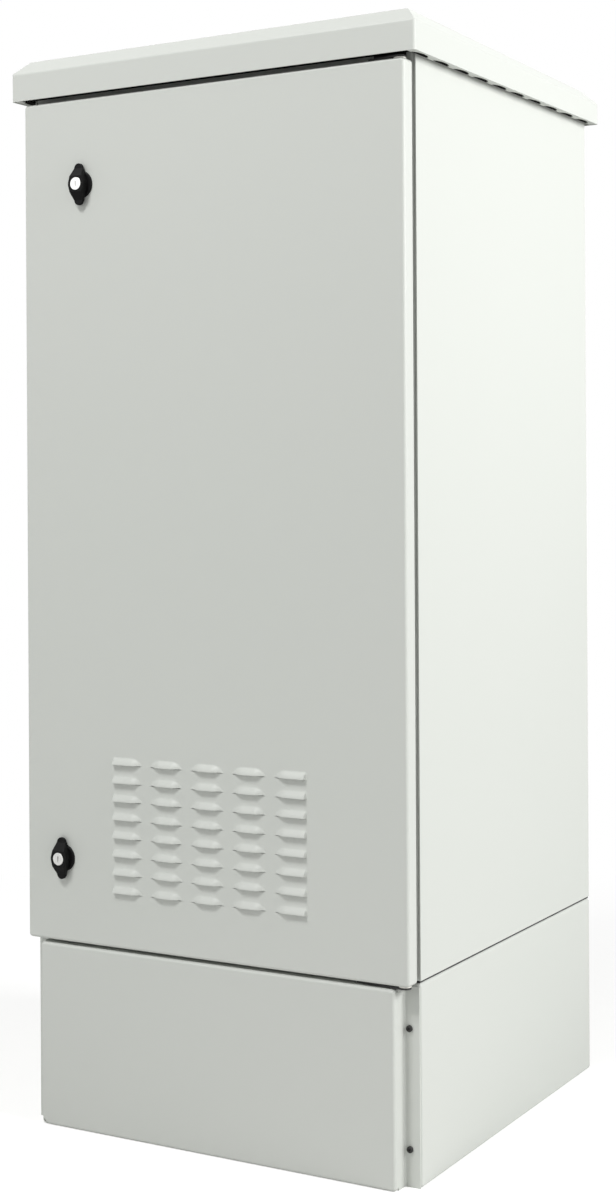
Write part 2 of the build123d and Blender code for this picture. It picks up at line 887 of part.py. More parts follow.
def door_leaf():
    """Door leaf: a folded pan with a lip behind, louvres, latch holes and pivot holes."""
    width = 2 * door_half_width
    leaf = facing_front(0, door_front, door_middle) * pan(width, door_height, door_depth)
    lip = block(-door_half_width, door_half_width, door_back - sheet, door_back, door_bottom, door_top)
    lip = fillet(lip.edges().filter_by(Axis.Y), door_corner_radius)
    lip -= block(
        -door_half_width + door_lip,
        door_half_width - door_lip,
        door_back - 2 * sheet,
        door_back + sheet,
        door_bottom + door_lip,
        door_top - door_lip,
    )
    leaf = add_louvres(leaf + lip)
    for x, z in latch_places():
        hole_radius = barrel_radius + barrel_hole_clearance
        leaf -= rod_along_y(x, z, door_front - sheet, door_inner + sheet, hole_radius)
    for z in (door_bottom, door_top):
        leaf -= rod(pivot_x, pivot_y, z - 2 * sheet, z + 2 * sheet, bush_radius)
    return leaf


def latch_places():
    """Axes of the upper and the lower latch, in X and Z."""
    return (
        (lock_side + upper_latch_inset, door_top - upper_latch_drop),
        (lock_side + lower_latch_inset, door_bottom + lower_latch_rise),
    )


def door_stiffener(z):
    """Hat-section stiffener across the back of the door's skin."""
    half = stiffener_width / 2
    crown = half - stiffener_flange
    line = [
        (z - half, door_inner),
        (z - crown, door_inner),
        (z - crown, door_inner + stiffener_depth),
        (z + crown, door_inner + stiffener_depth),
        (z + crown, door_inner),
        (z + half, door_inner),
    ]
    turned = [(y, height) for height, y in line]
    length = 2 * (opening_edge - sheet - gasket_width - stiffener_end_gap)
    plane = Plane(origin=(-length / 2, 0, 0), x_dir=(0, 1, 0), z_dir=(1, 0, 0))
    section = folded_section(turned[::-1])
    return extrude(plane * section, length)


def door_gasket():
    """Foam gasket on the door's skin, opposite the frame's lip."""
    y0 = door_inner
    y1 = lip_front - gasket_clearance
    middle = opening_edge - sheet / 2
    half = gasket_width / 2
    low = opening_bottom + sheet / 2
    high = opening_top - sheet / 2
    outside = block(-middle - half, middle + half, y0, y1, low - half, high + half)
    outside = fillet(outside.edges().filter_by(Axis.Y), half)
    inside = block(-middle + half, middle - half, y0 - 1, y1 + 1, low + half, high - half)
    return outside - inside


def filter_box(border, y0, y1):
    """Block over the louvre field, grown by a border."""
    half = ((louvre_columns - 1) * louvre_column_pitch + louvre_width) / 2 + filter_margin + border
    low = louvre_top - (louvre_rows - 1) * louvre_row_pitch - louvre_height - filter_margin - border
    high = louvre_top + filter_margin + border
    return block(-half, half, y0, y1, low, high)


def filter_frame():
    """Pressed frame that holds the filter mat against the door's skin."""
    frame = filter_box(0, door_inner, door_inner + filter_depth)
    frame = fillet(frame.edges().filter_by(Axis.Y), bend_radius * 2)
    frame -= filter_box(-sheet, door_inner - 1, door_inner + filter_depth - sheet)
    return frame - filter_box(-filter_border, door_inner - 1, door_inner + filter_depth + 1)


def filter_mat():
    """Filter mat lying in the frame."""
    shrink = -sheet - filter_clearance
    return filter_box(shrink, door_inner, door_inner + filter_depth - sheet)


# Door pivots

def pivot_bracket(top):
    """Cranked bracket: a leaf on the frame and a nose that carries the pivot pin."""
    plate_low = door_top + pivot_bush_flange if top else door_bottom - pivot_bush_flange - bracket_thickness
    plate_high = plate_low + bracket_thickness
    leaf_right = pivot_x if top else pivot_x - bracket_leaf_inset + bracket_nose_radius
    leaf_left = leaf_right - bracket_leaf_width
    nose = Pos(pivot_x, pivot_y) * Circle(bracket_nose_radius)
    shank = Pos((leaf_left + pivot_x) / 2, (body_front + pivot_y) / 2)
    root_half = (body_front - pivot_y) / 2
    outline = make_hull(
        (nose + shank * Rectangle(pivot_x - leaf_left, 2 * root_half)).edges()
    )
    plate = Pos(0, 0, plate_low) * extrude(outline, bracket_thickness)
    reach = 2 * bracket_nose_radius
    plate &= block(leaf_left, pivot_x + reach, pivot_y - reach, body_front, 0, hood_top)
    leaf_top = body_top - sheet if top else plate_low + bracket_leaf_height
    leaf = block(leaf_left, leaf_right, body_front - bracket_thickness, body_front, plate_low, leaf_top)
    bracket = plate + leaf
    for x, z in bracket_screw_places(top):
        hole_front = body_front - 2 * bracket_thickness
        bracket -= rod_along_y(x, z, hole_front, frame_back, m6_radius + thread_clearance)
    return bracket - rod(pivot_x, pivot_y, plate_low, plate_high, pivot_pin_radius)


def bracket_screw_places(top):
    """Two screws through each bracket's leaf into the frame."""
    if top:
        z = (door_top + body_top) / 2 + bracket_thickness
        right = pivot_x
    else:
        z = body_bottom + (door_bottom + bracket_leaf_height - body_bottom) / 2
        right = pivot_x - bracket_leaf_inset + bracket_nose_radius
    quarter = bracket_leaf_width / 4
    return [(right - quarter, z), (right - 3 * quarter, z)]


def bracket_screws():
    """Low-headed screws of both pivot brackets."""
    screws = []
    for top in (False, True):
        for x, z in bracket_screw_places(top):
            head_back = body_front - bracket_thickness
            head_front = head_back - screw_head_height / 1.5
            head = rod_along_y(x, z, head_front, head_back, m6_radius * screw_head_ratio)
            screws.append(head + rod_along_y(x, z, head_back, frame_back, m6_radius))
    return Compound(screws)


def drill_for_bracket_screws(shape):
    """Take the bracket screws' holes out of a frame member."""
    for top in (False, True):
        for x, z in bracket_screw_places(top):
            shape -= rod_along_y(x, z, body_front - sheet, frame_back + sheet, m6_radius + thread_clearance)
    return shape


def pivot_pin(top):
    """Hardened pin pressed in its bracket, reaching through the bush into the door."""
    if top:
        low = door_top - sheet - pivot_block_height * 0.7
        high = door_top + pivot_bush_flange + bracket_thickness
    else:
        low = door_bottom - pivot_bush_flange - bracket_thickness
        high = door_bottom + sheet + pivot_block_height * 0.7
    pin = rod(pivot_x, pivot_y, low, high, pivot_pin_radius)
    tip = pin.faces().sort_by(Axis.Z)[0 if top else -1]
    return chamfer(tip.edges(), pivot_pin_radius / 4)


def pivot_bush(top):
    """Flanged plastic bush in the door's corner; the flange is the thrust face."""
    reach = sheet + pivot_block_height * 0.8
    bore = pivot_pin_radius + pivot_running_clearance
    flange_radius = bush_radius + pivot_bush_wall
    if top:
        sleeve = rod(pivot_x, pivot_y, door_top - reach, door_top, bush_radius)
        flange = rod(pivot_x, pivot_y, door_top, door_top + pivot_bush_flange - 0.1, flange_radius)
    else:
        sleeve = rod(pivot_x, pivot_y, door_bottom, door_bottom + reach, bush_radius)
        flange = rod(pivot_x, pivot_y, door_bottom - pivot_bush_flange + 0.1, door_bottom, flange_radius)
    hole = rod(pivot_x, pivot_y, door_bottom - door_depth, door_top + door_depth, bore)
    return sleeve + flange - hole


def pivot_block(top):
    """Steel block welded in the door's corner round the bush."""
    right = door_half_width - sheet
    y1 = door_back - sheet
    z0 = door_top - sheet - pivot_block_height if top else door_bottom + sheet
    reinforcement = block(right - pivot_block_width, right, door_inner, y1, z0, z0 + pivot_block_height)
    reinforcement = chamfer(reinforcement.edges(), pivot_block_chamfer)
    return reinforcement - rod(pivot_x, pivot_y, z0, z0 + pivot_block_height, bush_radius)


# Latches

def lock_body(x, z):
    """Round rosette with its threaded barrel through the door."""
    rosette = slab_along_y(Circle(rosette_radius), -rosette_thickness, 0)
    rosette = fillet(rosette.faces().sort_by(Axis.Y)[0].edges(), rosette_thickness / 2)
    barrel = rod_along_y(0, 0, 0, barrel_length, barrel_radius)
    bore = rod_along_y(0, 0, -rosette_thickness, barrel_length, spindle_radius + spindle_running_clearance)
    return Pos(x, door_front, z) * (rosette + barrel - bore)


def lock_nuts():
    """Thin hexagon nuts on the barrels, behind the door's skin."""
    nuts = []
    for x, z in latch_places():
        nut = hex_along_y(x, z, door_inner, door_inner + latch_nut_thickness, latch_nut_across_flats)
        nut_back = door_inner + latch_nut_thickness
        hole = rod_along_y(x, z, door_inner, nut_back, barrel_radius + thread_clearance)
        nuts.append(nut - hole)
    return Compound(nuts)


def latch_knob(x, z):
    """Wing knob in one casting with its spindle, bored for the key cylinder."""
    tip_middle = knob_height / 2 - knob_tip_radius
    tips = Pos(0, tip_middle) * Circle(knob_tip_radius) + Pos(0, -tip_middle) * Circle(knob_tip_radius)
    outline = make_hull((Circle(knob_boss_radius) + tips).edges())
    base = -rosette_thickness - knob_gap
    wing = slab_along_y(outline, -knob_projection, base)
    half = knob_height / 2
    tip_front = base - knob_tip_thickness
    hump = [
        (base, -half),
        (tip_front, -half),
        (tip_front, -tip_middle),
        (-knob_projection, -knob_boss_radius * 0.85),
        (-knob_projection, knob_boss_radius * 0.85),
        (tip_front, tip_middle),
        (tip_front, half),
        (base, half),
    ]
    side_plane = Plane(origin=(-knob_boss_radius, 0, 0), x_dir=(0, 1, 0), z_dir=(1, 0, 0))
    side_view = extrude(side_plane * make_face(Polyline(*hump, close=True)), 2 * knob_boss_radius)
    knob = wing & side_view
    front_edges = knob.edges().filter_by(lambda edge: edge.center().Y < base - knob_edge_radius)
    knob = fillet(front_edges, knob_edge_radius)
    spindle = rod_along_y(0, 0, base, cam_set_back, spindle_radius)
    square = cam_square / 2
    tail = block(-square, square, cam_set_back, cam_set_back + cam_thickness, -square, square)
    bore_radius = plug_radius + plug_running_clearance
    bore = rod_along_y(0, 0, -knob_projection, -knob_projection + plug_depth, bore_radius)
    screw_hole = rod_along_y(0, 0, cam_set_back - m5_radius * 3, cam_set_back + cam_thickness, m5_radius)
    return Pos(x, door_front, z) * (knob + spindle + tail - bore - screw_hole)


def key_cylinder(x, z):
    """Bright key cylinder in the knob, with its keyway."""
    plug = rod_along_y(0, 0, -knob_projection, -knob_projection + plug_depth - knob_gap, plug_radius)
    plug = fillet(plug.faces().sort_by(Axis.Y)[0].edges(), knob_edge_radius / 2)
    keyway = block(
        -keyway_width / 2,
        keyway_width / 2,
        -knob_projection,
        -knob_projection + keyway_depth,
        -keyway_height / 2,
        keyway_height / 2,
    )
    return Pos(x, door_front, z) * (plug - keyway)


def latch_cam(x, z):
    """Cam plate hanging down from the spindle; it turns up behind the keeper."""
    reach = x - (-opening_edge + sheet + keeper_thickness) - cam_reach_gap
    half = cam_width / 2
    tip = Pos(0, -reach + half) * Circle(half)
    outline = make_hull((Circle(half * 1.4) + tip).edges())
    y0 = cam_set_back
    cam = slab_along_y(outline, y0, y0 + cam_thickness)
    cam -= block(-cam_square / 2, cam_square / 2, y0, y0 + cam_thickness, -cam_square / 2, cam_square / 2)
    return Pos(x, door_front, z) * cam


def cam_screw(x, z):
    """Screw that holds the cam on the spindle's end."""
    y0 = door_front + cam_set_back + cam_thickness
    head = hex_along_y(x, z, y0, y0 + cam_screw_head_height, 2 * cam_screw_head_radius)
    return head + rod_along_y(x, z, y0 - cam_thickness - m5_radius * 2, y0, m5_radius)


# Values that join the pieces of more than one section
anchor_x = side_outer - anchor_inset_x
bolt_hole_radius = plinth_bolt_radius + bolt_hole_clearance
m5_hole_radius = m5_radius + thread_clearance
rivet_nut_radius = m5_radius + rivet_nut_wall
cover_screw_x = side_outer - cover_screw_inset
gland_back = body_back - gland_opening_back_margin
gland_plate_bottom = body_bottom + sheet
gland_plate_top = gland_plate_bottom + gland_plate_thickness
earth_stud_x = tray_half_width - hood_boss_inset
earth_stud_y = body_front + hood_boss_inset
louvre_top = door_bottom + louvre_top_above_door
bush_radius = pivot_pin_radius + pivot_running_clearance + pivot_bush_wall
keeper_back = door_front + cam_set_back - keeper_clearance


save("plinth_side_right", plinth_side())
save("plinth_side_left", mirrored(plinth_side()))
save("plinth_front_cover", front_cover())
save("plinth_cover_screws", cover_screws())
save("plinth_rivet_nuts", cover_rivet_nuts())
save("plinth_back_cover", back_cover())
save("plinth_bolts", plinth_bolts())
save("base_seal", base_seal())

save("side_panel_right", side_panel())
save("side_panel_left", mirrored(side_panel()))
save("back_panel", back_panel())
save("base_tray", base_tray())
save("gland_plate", gland_plate())
save("gland_plate_screws", gland_plate_screws())
save("cable_grommets", cable_grommets())
save("earth_stud", earth_stud())
save("ceiling_panel", ceiling_panel())
save("rain_hood", rain_hood())
save("hood_bosses", hood_bosses())
save("hood_bolts", hood_bolts())

save("frame_post_right", drill_for_bracket_screws(frame_post()))
save("frame_post_left", mirrored(frame_post()))
save("frame_sill", drill_for_bracket_screws(frame_rail(body_bottom, opening_bottom)))
save("frame_head", drill_for_bracket_screws(frame_rail(body_top, opening_top)))

for place, (latch_x, latch_z) in zip(("upper", "lower"), latch_places()):
    save(f"keeper_{place}", keeper(latch_z))
    save(f"lock_body_{place}", lock_body(latch_x, latch_z))
    save(f"latch_knob_{place}", latch_knob(latch_x, latch_z))
    save(f"key_cylinder_{place}", key_cylinder(latch_x, latch_z))
    save(f"latch_cam_{place}", latch_cam(latch_x, latch_z))
    save(f"cam_screw_{place}", cam_screw(latch_x, latch_z))
save("lock_nuts", lock_nuts())

front_rail = drill_for_rail_screws(equipment_rail(rail_front, 1, 3))
back_rail = drill_for_rail_screws(equipment_rail(rail_back, -1, 1))
save("rail_front_right", front_rail)
save("rail_front_left", mirrored(front_rail))
save("rail_back_right", back_rail)
save("rail_back_left", mirrored(back_rail))
for place, level in zip(("lower", "upper"), brace_levels()):
    brace = drill_for_rail_screws(depth_brace(level))
    save(f"brace_{place}_right", brace)
    save(f"brace_{place}_left", mirrored(brace))
save("rail_screws", rail_screws())

save("door_leaf", door_leaf())
save("door_stiffener_lower", door_stiffener(door_bottom + stiffener_heights[0] * door_height))
save("door_stiffener_upper", door_stiffener(door_bottom + stiffener_heights[1] * door_height))
save("door_gasket", door_gasket())
save("filter_frame", filter_frame())
save("filter_mat", filter_mat())

for place, at_top in (("upper", True), ("lower", False)):
    save(f"pivot_bracket_{place}", pivot_bracket(at_top))
save("bracket_screws", bracket_screws())
save("pivot_pins", Compound([pivot_pin(True), pivot_pin(False)]))
save("pivot_bushes", Compound([pivot_bush(True), pivot_bush(False)]))
save("pivot_blocks", Compound([pivot_block(True), pivot_block(False)]))
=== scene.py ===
import math

import bpy
from mathutils import Matrix, Vector


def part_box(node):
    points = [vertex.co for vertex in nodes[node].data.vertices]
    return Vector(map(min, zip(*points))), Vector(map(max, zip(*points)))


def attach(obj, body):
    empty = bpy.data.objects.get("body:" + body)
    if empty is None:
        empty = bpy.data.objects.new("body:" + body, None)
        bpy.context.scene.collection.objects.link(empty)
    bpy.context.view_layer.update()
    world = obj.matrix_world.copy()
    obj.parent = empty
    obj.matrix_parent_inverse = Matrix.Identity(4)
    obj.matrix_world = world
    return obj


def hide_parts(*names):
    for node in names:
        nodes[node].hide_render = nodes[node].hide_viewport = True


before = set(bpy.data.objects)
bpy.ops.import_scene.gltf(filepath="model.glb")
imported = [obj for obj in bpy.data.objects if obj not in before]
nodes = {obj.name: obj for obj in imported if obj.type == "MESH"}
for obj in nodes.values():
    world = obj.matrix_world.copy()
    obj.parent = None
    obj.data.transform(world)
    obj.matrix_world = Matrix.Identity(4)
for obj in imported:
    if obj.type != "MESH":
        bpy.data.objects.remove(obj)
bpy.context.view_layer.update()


# The place: a pale, plain floor in a white room, with the camera standing to the right of
# the cabinet at chest height, and looking level. The lens is shifted down, so that the
# cabinet's uprights stay upright in the picture.

lens_length = 57.49
lens_shift = (0.0007, -0.0912)
camera_place = (1.3762, -2.4598, 0.882)
camera_heading = 0.5182
camera_roll = -0.0057
camera_data = bpy.data.cameras.new("standing_camera")
camera_data.lens = lens_length
camera_data.sensor_width = 36.0
camera_data.shift_x, camera_data.shift_y = lens_shift
camera = bpy.data.objects.new("standing_camera", camera_data)
bpy.context.scene.collection.objects.link(camera)
camera_turn = Matrix.Rotation(camera_heading, 4, "Z") @ Matrix.Rotation(math.pi / 2, 4, "X")
camera_turn = camera_turn @ Matrix.Rotation(camera_roll, 4, "Z")
camera.matrix_world = Matrix.Translation(camera_place) @ camera_turn
bpy.context.scene.camera = camera

bpy.context.scene.view_settings.view_transform = "Standard"


class Shade:
    """A value in a material, which can be reckoned with like a number."""

    def __init__(self, tree, socket):
        self.tree = tree
        self.socket = socket

    def _math(self, operation, first, second=None):
        node = self.tree.nodes.new("ShaderNodeMath")
        node.operation = operation
        for index, value in enumerate((first, second)):
            if isinstance(value, Shade):
                self.tree.links.new(value.socket, node.inputs[index])
            elif value is not None:
                node.inputs[index].default_value = value
        return Shade(self.tree, node.outputs[0])

    def __add__(self, other):
        return self._math("ADD", self, other)

    def __radd__(self, other):
        return self._math("ADD", other, self)

    def __sub__(self, other):
        return self._math("SUBTRACT", self, other)

    def __rsub__(self, other):
        return self._math("SUBTRACT", other, self)

    def __mul__(self, other):
        return self._math("MULTIPLY", self, other)

    def __rmul__(self, other):
        return self._math("MULTIPLY", other, self)

    def clamped(self):
        return self._math("MINIMUM", self._math("MAXIMUM", self, 0.0), 1.0)


class Finish:
    """A material under construction, with one method for every kind of node."""

    def __init__(self, name):
        self.material = bpy.data.materials.new(name)
        self.material.use_nodes = True
        self.tree = self.material.node_tree
        self.surface = self.tree.nodes["Principled BSDF"]

    def node(self, kind, settings=None, output=0, **values):
        made = self.tree.nodes.new(kind)
        for key, value in (settings or {}).items():
            setattr(made, key, value)
        for key, value in values.items():
            name = key.replace("_", " ")
            socket = next(item for item in made.inputs if item.name == name and item.enabled)
            if isinstance(value, Shade):
                self.tree.links.new(value.socket, socket)
            else:
                socket.default_value = value
        return Shade(self.tree, made.outputs[output])

    def place(self):
        """Object coordinates, in metres."""
        return self.node("ShaderNodeTexCoord", output=3)

    def stretched(self, scale):
        return self.node("ShaderNodeMapping", Vector=self.place(), Scale=scale)

    def noise(self, scale, detail=2.0, roughness=0.5, vector=None):
        return self.node(
            "ShaderNodeTexNoise",
            Vector=vector or self.place(),
            Scale=scale,
            Detail=detail,
            Roughness=roughness,
        )

    def blend(self, amount, first, second):
        """A colour between two colours."""
        made = self.tree.nodes.new("ShaderNodeMix")
        made.data_type = "RGBA"
        for socket, value in ((made.inputs[0], amount), (made.inputs[6], first), (made.inputs[7], second)):
            if isinstance(value, Shade):
                self.tree.links.new(value.socket, socket)
            elif isinstance(value, tuple):
                socket.default_value = (*value, 1.0)
            else:
                socket.default_value = value
        return Shade(self.tree, made.outputs[2])

    def bump(self, height, strength, distance):
        return self.node("ShaderNodeBump", Strength=strength, Distance=distance, Height=height)

    def set(self, **values):
        for key, value in values.items():
            socket = self.surface.inputs[key.replace("_", " ")]
            if isinstance(value, Shade):
                self.tree.links.new(value.socket, socket)
            elif isinstance(value, tuple) and len(value) == 3 and len(socket.default_value) == 4:
                socket.default_value = (*value, 1.0)
            else:
                socket.default_value = value
        return self.material


def deselect():
    """Leave no object selected."""
    bpy.ops.object.select_all(action="DESELECT")


floor_size = 60.0
floor_lift = (0.46, 0.46, 0.46)
fade_rate = 0.9
fade_start = 0.55
black = (0.0, 0.0, 0.0)
white = (1.0, 1.0, 1.0)
deselect()
bpy.ops.mesh.primitive_plane_add(size=floor_size, location=(0.0, 0.0, 0.0))
floor = bpy.context.object
floor.name = "pale_floor"

floor_finish = Finish("pale_floor")
scuffs = floor_finish.noise(3.0, 3.0)
seen = floor_finish.node("ShaderNodeLightPath", output=0)
floor_place = floor_finish.place()
reach = floor_finish.node("ShaderNodeVectorMath", {"operation": "LENGTH"}, output=1, Vector=floor_place)
faded = (reach * fade_rate - fade_start).clamped() * seen
floor_tone = floor_finish.blend(scuffs * 0.25, (0.70, 0.70, 0.69), (0.66, 0.66, 0.65))
floor_glow = floor_finish.blend(seen, black, floor_lift)
floor_finish.set(
    Base_Color=floor_finish.blend(faded, floor_tone, black),
    Emission_Color=floor_finish.blend(faded, floor_glow, white),
    Emission_Strength=1.0,
    Roughness=0.9,
    Specular_IOR_Level=0.0,
)
floor.data.materials.append(floor_finish.material)

room_light = 0.31
world = bpy.data.worlds.new("white_room")
bpy.context.scene.world = world
world.use_nodes = True
sky = world.node_tree
background = sky.nodes["Background"]
path = sky.nodes.new("ShaderNodeLightPath")
seen_or_mirrored = sky.nodes.new("ShaderNodeMath")
seen_or_mirrored.operation = "MAXIMUM"
sky.links.new(path.outputs["Is Camera Ray"], seen_or_mirrored.inputs[0])
sky.links.new(path.outputs["Is Glossy Ray"], seen_or_mirrored.inputs[1])
level = sky.nodes.new("ShaderNodeMapRange")
level.inputs["To Min"].default_value = room_light
level.inputs["To Max"].default_value = 1.0
sky.links.new(seen_or_mirrored.outputs[0], level.inputs["Value"])
sky.links.new(level.outputs[0], background.inputs["Strength"])
background.inputs["Color"].default_value = (1.0, 1.0, 1.0, 1.0)


def soft_lamp(name, place, target, size, power):
    """A large soft lamp that looks at a point."""
    lamp_data = bpy.data.lights.new(name, "AREA")
    lamp_data.shape = "RECTANGLE"
    lamp_data.size = size[0]
    lamp_data.size_y = size[1]
    lamp_data.energy = power
    lamp = bpy.data.objects.new(name, lamp_data)
    lamp.location = place
    lamp.rotation_euler = (Vector(target) - Vector(place)).to_track_quat("-Z", "Y").to_euler()
    bpy.context.scene.collection.objects.link(lamp)


soft_lamp("window_right", (3.3, 0.2, 2.2), (0.3, 0.0, 1.3), (2.0, 1.6), 122.0)
soft_lamp("skylight_front", (-0.6, -2.8, 4.5), (0.0, -0.3, 0.9), (1.0, 1.0), 126.0)
soft_lamp("bounce_front", (-1.8, -4.2, 1.6), (0.0, -0.3, 0.8), (2.5, 2.5), 18.0)


# Powder-coated sheet steel: every folded panel of the body, the plinth, the door and the hood.
# It is degreased, dusted with a light grey polyester powder and baked, which leaves a
# semi-matt skin with a very fine orange peel.

powder_nodes = [
    "plinth_side_left",
    "plinth_side_right",
    "plinth_front_cover",
    "plinth_back_cover",
    "side_panel_left",
    "side_panel_right",
    "back_panel",
    "base_tray",
    "ceiling_panel",
    "rain_hood",
    "hood_bosses",
    "frame_post_left",
    "frame_post_right",
    "frame_sill",
    "frame_head",
    "door_stiffener_lower",
    "door_stiffener_upper",
]
coat_grey = (0.585, 0.61, 0.573)
coat_warm = (0.60, 0.613, 0.582)
powder = Finish("light_grey_powder_coat")
clouds = powder.noise(1.6, 2.0)
peel = powder.noise(420.0, 3.0, 0.55)
grain = powder.noise(2600.0, 1.0)
powder_coat = powder.set(
    Base_Color=powder.blend(clouds, coat_grey, coat_warm),
    Roughness=0.42 + clouds * 0.06 + peel * 0.05,
    Specular_IOR_Level=0.45,
    Normal=powder.bump(peel * 0.7 + grain * 0.3, 0.10, 0.0004),
)


def dress(names, material):
    """Give carried-over pieces their material."""
    for name in names:
        piece = nodes[name]
        piece.data.materials.clear()
        piece.data.materials.append(material)


dress(powder_nodes, powder_coat)


# Underside of the rain hood: a ledge runs along each side, from the skirt in to a thin gap
# beside the side panel, with a row of air slots that open into the gap. A near-black sheet of
# painted shade lies over them and goes on round the front, over the gap above the door.

hood_low, hood_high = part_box("rain_hood")
panel_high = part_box("side_panel_right")[1]
bracket_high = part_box("pivot_bracket_upper")[1]
hood_sheet = 0.002
skirt_rise = 0.008
skirt_corner = 0.004
skirt_start = hood_low[1] + skirt_corner
skirt_length = hood_high[1] + hood_sheet - skirt_start
ledge_clearance = 0.0004
ledge_lift = 0.0006
ledge_thickness = 0.0012
shade_sheet_inner = panel_high[0] + ledge_clearance
ledge_gap = 0.0026
ledge_inner = panel_high[0] + ledge_gap
ledge_outer = hood_high[0] - hood_sheet - ledge_clearance
ledge_width = ledge_outer - ledge_inner
ledge_back = hood_high[1] - hood_sheet - ledge_clearance
ledge_front = skirt_start
air_slot_count = 10
air_slot_pitch = 0.06115
air_slot_length = 0.046
air_slot_depth = 0.72
first_air_slot = -0.2866
shade_sheet_lift = 0.005
shade_sheet_thickness = 0.0006
shade_sheet_short_of_bracket = 0.0035


def slab(name, low, high):
    """A plain block between two corners, made for cutting or as the start of a flat piece."""
    deselect()
    middle = [(a + b) / 2 for a, b in zip(low, high)]
    size = [b - a for a, b in zip(low, high)]
    bpy.ops.mesh.primitive_cube_add(size=1.0, location=middle, scale=size)
    made = bpy.context.object
    made.name = name
    bpy.ops.object.transform_apply(location=True, rotation=True, scale=True)
    return made


def lean_with_skirt(piece):
    """Raise a piece towards the back as the edge of the skirt rises."""
    for vertex in piece.data.vertices:
        vertex.co.z += skirt_rise * (vertex.co.y - skirt_start) / skirt_length


def take_away(piece, tool):
    """Cut one piece with another, which is used up."""
    deselect()
    piece.select_set(True)
    bpy.context.view_layer.objects.active = piece
    cut = piece.modifiers.new("cut", "BOOLEAN")
    cut.operation = "DIFFERENCE"
    cut.solver = "EXACT"
    cut.object = tool
    bpy.ops.object.modifier_apply(modifier=cut.name)
    bpy.data.objects.remove(tool)


# Painted shade: this near-black stands in for the shadow inside the hood's slots and above the door.
shade_finish = Finish("painted_shade_sheet_black")
shade_speckle = shade_finish.node("ShaderNodeTexVoronoi", {"feature": "F1"}, Vector=shade_finish.place(), Scale=900.0)
painted_shade_black = shade_finish.set(
    Base_Color=shade_finish.blend(shade_speckle, (0.0015, 0.0015, 0.0015), (0.006, 0.006, 0.006)),
    Roughness=0.85,
    Specular_IOR_Level=0.05,
    Normal=shade_finish.bump(shade_speckle, 0.4, 0.0004),
)

shade_sheets = []
for side, side_name in ((1, "right"), (-1, "left")):
    near, far = sorted((side * ledge_inner, side * ledge_outer))
    bottom = hood_low[2] + ledge_lift
    ledge = slab(
        f"hood_ledge_{side_name}", (near, ledge_front, bottom), (far, ledge_back, bottom + ledge_thickness)
    )
    for index in range(air_slot_count):
        deselect()
        bpy.ops.mesh.primitive_cylinder_add(
            vertices=40,
            radius=0.5,
            depth=4 * ledge_thickness,
            location=(side * ledge_inner, first_air_slot + index * air_slot_pitch, bottom),
            scale=(2 * air_slot_depth * ledge_width, air_slot_length, 1.0),
        )
        slot_cutter = bpy.context.object
        bpy.ops.object.transform_apply(location=True, rotation=True, scale=True)
        take_away(ledge, slot_cutter)
    lean_with_skirt(ledge)
    ledge.data.materials.append(powder_coat)
    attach(ledge, "cabinet")
    over = bottom + ledge_thickness + ledge_clearance
    near, far = sorted((side * shade_sheet_inner, side * ledge_outer))
    side_shade_sheet = slab(
        f"side_shade_sheet_{side_name}", (near, ledge_front, over), (far, ledge_back, over + shade_sheet_thickness)
    )
    lean_with_skirt(side_shade_sheet)
    shade_sheets.append(side_shade_sheet)

# The front part of the sheet is painted shade, over the gap between the hood and the top of the door.
front_low = hood_low[2] + shade_sheet_lift
front_shade_sheet = slab(
    "front_shade_sheet",
    (-shade_sheet_inner, hood_low[1] + hood_sheet + ledge_clearance, front_low),
    (shade_sheet_inner, bracket_high[1] - shade_sheet_short_of_bracket, front_low + shade_sheet_thickness),
)
deselect()
for piece in shade_sheets:
    piece.select_set(True)
front_shade_sheet.select_set(True)
bpy.context.view_layer.objects.active = front_shade_sheet
bpy.ops.object.join()
front_shade_sheet.name = "painted_shade_sheets"
front_shade_sheet.data.materials.clear()
front_shade_sheet.data.materials.append(painted_shade_black)
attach(front_shade_sheet, "cabinet")


# Louvred field of the door: forty brow-shaped louvres pressed outwards in eight rows, each
# row slit along its lips. The press draws the skin in soft curves down to every lip, which
# is smoother here than in the solid, so this sheet stands in for the middle of the leaf.

leaf_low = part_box("door_leaf")[0]
lock_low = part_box("lock_body_lower")[0]
rosette_stand = 0.003
skin_front = lock_low[1] + rosette_stand
skin_thickness = 0.002
louvre_rows = 8
louvre_columns = 5
row_pitch = 0.025
column_pitch = 0.065
louvre_width = 0.054
square_half = 0.022
louvre_height = 0.0092
louvre_rise = 0.0056
lip_drop = 0.011
end_reach = 0.018
cheek = 0.0012
slit = 0.001
first_louvre_top = leaf_low[2] + 0.262
brow_at_tip = 0.06
flat_share = 0.3
brow_bend = 1.7
slit_closing = 8
sheet_share = 0.75
strip_columns = 212
strip_rows = 14
smooth_angle = 50
merge_distance = 0.00001
punch_reach = 0.017
punch_depth = 1.5
field_margin = 0.004
field_side = (louvre_columns - 1) / 2 * column_pitch + louvre_width / 2 + field_margin
field_top = first_louvre_top + field_margin
field_bottom = first_louvre_top - (louvre_rows - 1) * row_pitch - lip_drop - slit - field_margin


def swell(x):
    """Rise of a louvre across the door, 0 in a valley and 1 on its back, and the kind of end."""
    middle_column = (louvre_columns - 1) / 2
    column = min(max(round(x / column_pitch + middle_column), 0), louvre_columns - 1)
    away = x - (column - middle_column) * column_pitch
    square_end = (column == 0 and away < 0) or (column == louvre_columns - 1 and away > 0)
    half = square_half if square_end else louvre_width / 2
    along = (half - abs(away)) / (cheek if square_end else end_reach)
    along = min(max(along, 0.0), 1.0)
    return along * along * (3 - 2 * along), square_end, along


